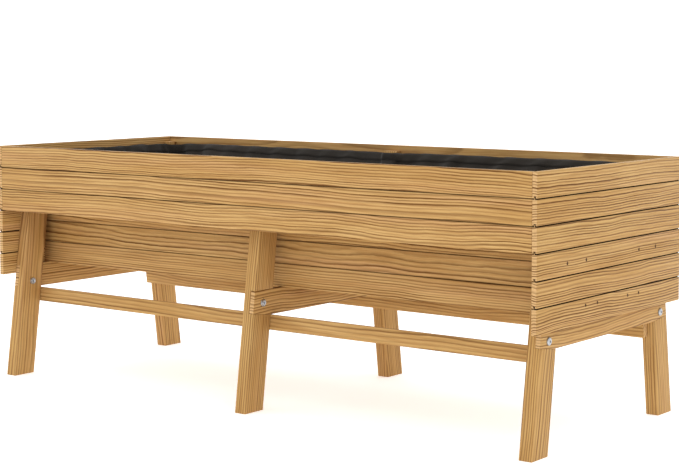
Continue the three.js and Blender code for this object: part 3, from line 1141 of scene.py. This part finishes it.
def liner():
    """The felt bag, the turned hem along its top edge, and the staples and stitching in the hem."""
    hollow = Hollow(FELT_MARGIN)
    mesh, levels = tray("liner_felt", hollow, CLOTH_STEP)
    rim = rim_of(mesh)
    relax(mesh, hollow, rim, RELAX_ROUNDS)
    felt = new_piece("liner_felt", mesh, FELT, ["fabric_liner"])

    staple_places = along_rim(mesh, rim, STAPLE_SPACING)
    pins = set()
    for index, _ in staple_places:
        pins |= {rim[index], rim[(index + 1) % len(rim)]}
    settled = let_fall(felt, sorted(pins))
    for vertex, place in zip(mesh.vertices, settled):
        vertex.co = hollow.keep_inside(place)
        vertex.co.z = min(vertex.co.z, hollow.top)
    mesh.update()

    def on_rim(index, share, drop, proud):
        """A place on the felt below its rim, and the directions along the rim and into the planter."""
        a, b = rim[index], rim[(index + 1) % len(rim)]
        place = mesh.vertices[a].co.lerp(mesh.vertices[b].co, share)
        ahead = (mesh.vertices[b].co - mesh.vertices[a].co).normalized()
        inward = Z_AXIS.cross(ahead).normalized()
        if inward.dot(mesh.vertices[a].normal) < 0:
            inward = -inward
        return place - Z_AXIS * drop + inward * proud, ahead, inward

    def in_hem(polygon):
        return max(levels[vertex] for vertex in polygon.vertices) <= HEM_ROWS

    hem_faces = [polygon for polygon in mesh.polygons if in_hem(polygon)]
    used = sorted({vertex for polygon in hem_faces for vertex in polygon.vertices})
    number = {vertex: index for index, vertex in enumerate(used)}
    hem_mesh = bpy.data.meshes.new("liner_hem")
    hem_mesh.from_pydata(
        [mesh.vertices[vertex].co + mesh.vertices[vertex].normal * HEM_LIFT for vertex in used],
        [],
        [[number[vertex] for vertex in polygon.vertices] for polygon in hem_faces],
    )
    hem = new_piece("liner_hem", hem_mesh, FELT)
    stitch_drop = HEM_ROWS * CLOTH_STEP - STITCH_ABOVE_HEM
    surface = HEM_LIFT + FELT_THICKNESS
    crowns = []
    for index, share in staple_places:
        middle, ahead, inward = on_rim(index, share, STAPLE_DROP, surface + STAPLE_WIRE * 0.6)
        tips = [middle + ahead * STAPLE_HALF_WIDTH * way for way in (-1, 1)]
        legs = [tip - inward * STAPLE_LEG for tip in tips]
        crowns.append([legs[0], tips[0], middle, tips[1], legs[1]])
    staples = small_bars("liner_staples", crowns, STAPLE_WIRE, ZINC)

    threads = []
    for index, share in along_rim(mesh, rim, STITCH_SPACING):
        middle, ahead, inward = on_rim(index, share, stitch_drop, surface)
        half = ahead * STITCH_LENGTH / 2
        sunk = inward * STITCH_RADIUS * 0.8
        threads.append([middle - half - sunk, middle, middle + half - sunk])
    stitching = small_bars("liner_stitching", threads, STITCH_RADIUS, THREAD)

    thicken(felt, FELT_THICKNESS)
    thicken(hem, HEM_THICKNESS)


liner()


# ---------------------------------------------------------------- stage, light and camera

FLOOR_REACH = 9.0  # how far the paper lies in front of the planter
FLOOR_DEPTH = 5.0  # how far it lies behind, before it bends up
FLOOR_BEND = 3.0
FLOOR_HALF_WIDTH = 14.0
BACKDROP_HEIGHT = 9.0
BEND_STEPS = 12
FLOOR_TURN = math.radians(37)  # so that the backdrop faces the camera
WHITE = (1.0, 1.0, 1.0, 1.0)


def paper_material():
    """White paper that is lit well past white, as behind an object in a catalogue."""
    s = Shader("studio_paper")
    paper = s.mix(s.noise(s.coordinates(), 3.0), colour(250, 250, 249), colour(252, 252, 251))
    s.give("Base Color", paper)
    s.give("Roughness", 0.9)
    s.give("Specular IOR Level", 0.1)
    s.give("Emission Color", WHITE)
    s.give("Emission Strength", 0.46)
    return s.material


def stage():
    """A roll of paper on the floor, which bends up behind the planter."""
    profile = [(-FLOOR_REACH, 0.0), (FLOOR_DEPTH, 0.0)]
    for step in range(1, BEND_STEPS + 1):
        angle = step / BEND_STEPS * math.pi / 2
        along = FLOOR_DEPTH + FLOOR_BEND * math.sin(angle)
        profile.append((along, FLOOR_BEND * (1 - math.cos(angle))))
    profile.append((FLOOR_DEPTH + FLOOR_BEND, BACKDROP_HEIGHT))
    turn = Matrix.Rotation(FLOOR_TURN, 4, "Z")
    bm = bmesh.new()
    lines = []
    for y, z in profile:
        ends = (-FLOOR_HALF_WIDTH, FLOOR_HALF_WIDTH)
        lines.append([bm.verts.new(turn @ Vector((x, y, z))) for x in ends])
    for near, far in zip(lines, lines[1:]):
        bm.faces.new((near[0], near[1], far[1], far[0]))
    mesh = mesh_of(bm, "floor")
    smooth(mesh)
    mesh.materials.append(paper_material())
    floor = new_object("studio_floor", mesh)


def softbox(name, place, target, size, power):
    """A large lamp that faces a target."""
    data = bpy.data.lights.new(name, "AREA")
    data.shape = "RECTANGLE"
    data.size = size[0]
    data.size_y = size[1]
    data.energy = power
    lamp = new_object(name, data)
    lamp.location = place
    lamp.rotation_euler = (Vector(target) - Vector(place)).to_track_quat("-Z", "Y").to_euler()


def lighting():
    """White light from all round, and three weak softboxes that shape it."""
    world = bpy.data.worlds.new("studio")
    world.use_nodes = True
    background = world.node_tree.nodes["Background"]
    background.inputs["Color"].default_value = WHITE
    background.inputs["Strength"].default_value = 1.0
    bpy.context.scene.world = world
    bpy.context.scene.view_settings.view_transform = "Standard"
    softbox("key", (2.6, -3.6, 3.6), (0, 0, 0.4), (3.0, 3.0), 19)
    softbox("fill", (-4.0, -3.0, 2.2), (0, 0, 0.4), (3.0, 2.5), 10)
    softbox("top", (0.0, 0.6, 4.2), (0, 0, 0.5), (4.0, 3.0), 22)


CAMERA_PLACE = (2.8496, -3.6677, 0.9355)
CAMERA_AZIMUTH = 37.218  # degrees
CAMERA_PITCH = 4.195  # degrees down
CAMERA_SENSOR = 36.0
CAMERA_LENS = 89.938
CAMERA_SHIFT = -0.08  # lowers the frame, so that views from other sides show the whole planter


def camera():
    data = bpy.data.cameras.new("camera")
    data.sensor_width = CAMERA_SENSOR
    data.lens = CAMERA_LENS
    data.shift_y = CAMERA_SHIFT
    data.clip_start = 0.05
    data.clip_end = 60.0
    eye = new_object("camera", data)
    eye.location = CAMERA_PLACE
    eye.rotation_euler = (math.radians(90 - CAMERA_PITCH), 0.0, math.radians(CAMERA_AZIMUTH))
    bpy.context.scene.camera = eye


stage()
lighting()
camera()
